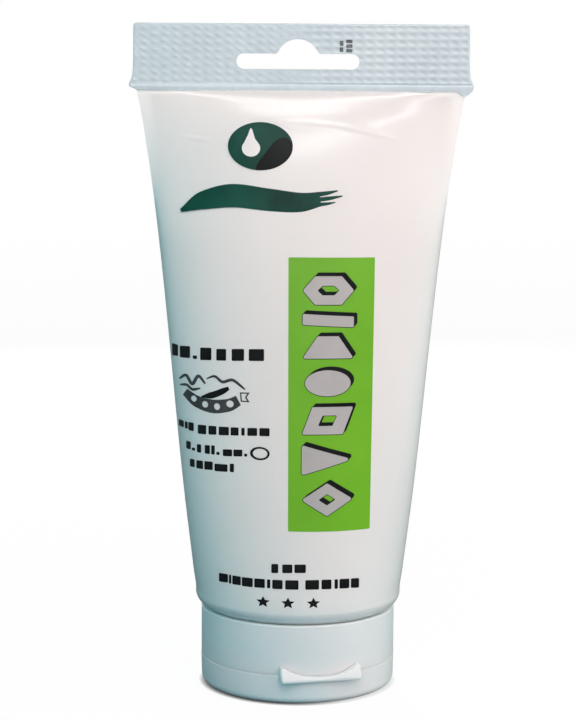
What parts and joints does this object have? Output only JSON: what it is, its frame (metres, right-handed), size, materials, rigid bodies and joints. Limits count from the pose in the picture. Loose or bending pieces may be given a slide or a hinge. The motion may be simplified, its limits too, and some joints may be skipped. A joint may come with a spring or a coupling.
{
  "type": "paint tube",
  "caption": "Squeeze tube for artists' paint, round at the shoulder and flat at the crimped hang-hole end, standing on its flip-top screw cap.",
  "frame": {"origin": "centre of the flat face of the lid that the tube stands on", "axes": "+Z along the tube from the cap to the crimped end, -Y out of the printed front, +X to the right of the print along the crimp"},
  "size_m": [0.074, 0.0465, 0.1443],
  "materials": {
    "sleeve_plastic": "glossy white printed polyethylene",
    "seal_plastic": "unprinted pale blue-grey polyethylene with a waffle emboss",
    "head_plastic": "natural moulded polyethylene",
    "foil": "thin aluminium foil",
    "paint": "wet white acrylic paint",
    "liner_foam": "closed-cell foam sheet",
    "cap_plastic": "satin white moulded polypropylene",
    "ink_black": "black printing ink",
    "ink_green": "bright green printing ink",
    "ink_dark_green": "dark green printing ink",
    "ink_silver": "silver-grey printing ink",
    "ink_white": "white printing ink"
  },
  "bodies": {
    "tube": {"sleeve": "sleeve_plastic", "end_seal": "seal_plastic", "tube_head": "head_plastic", "foil_seal": "foil", "paint_fill": "paint"},
    "liner": {"cap_liner": "liner_foam"},
    "cap": {"cap_base": "cap_plastic", "hinge_web": "cap_plastic", "hinge_straps": "cap_plastic"},
    "lid": {"lid": "cap_plastic"}
  },
  "joints": [
    {"name": "cap_lift", "type": "slide", "parent": "tube", "child": "liner", "axis": [0, 0, -1], "range_m": [0, 0.0045]},
    {"name": "cap_unscrew", "type": "hinge", "parent": "liner", "child": "cap", "pos_m": [0, 0, 0.012], "axis": [0, 0, -1], "range_deg": [0, 540]},
    {"name": "lid_hinge", "type": "hinge", "parent": "cap", "child": "lid", "pos_m": [-0.00502, 0.0206, 0.00645], "axis": [0.9715, 0.2368, 0], "range_deg": [0, 170], "deforming": ["hinge_web", "hinge_straps"]}
  ],
  "couplings": [
    {"joint": "cap_lift", "follows": "cap_unscrew", "m_per_rad": 0.00047746}
  ]
}
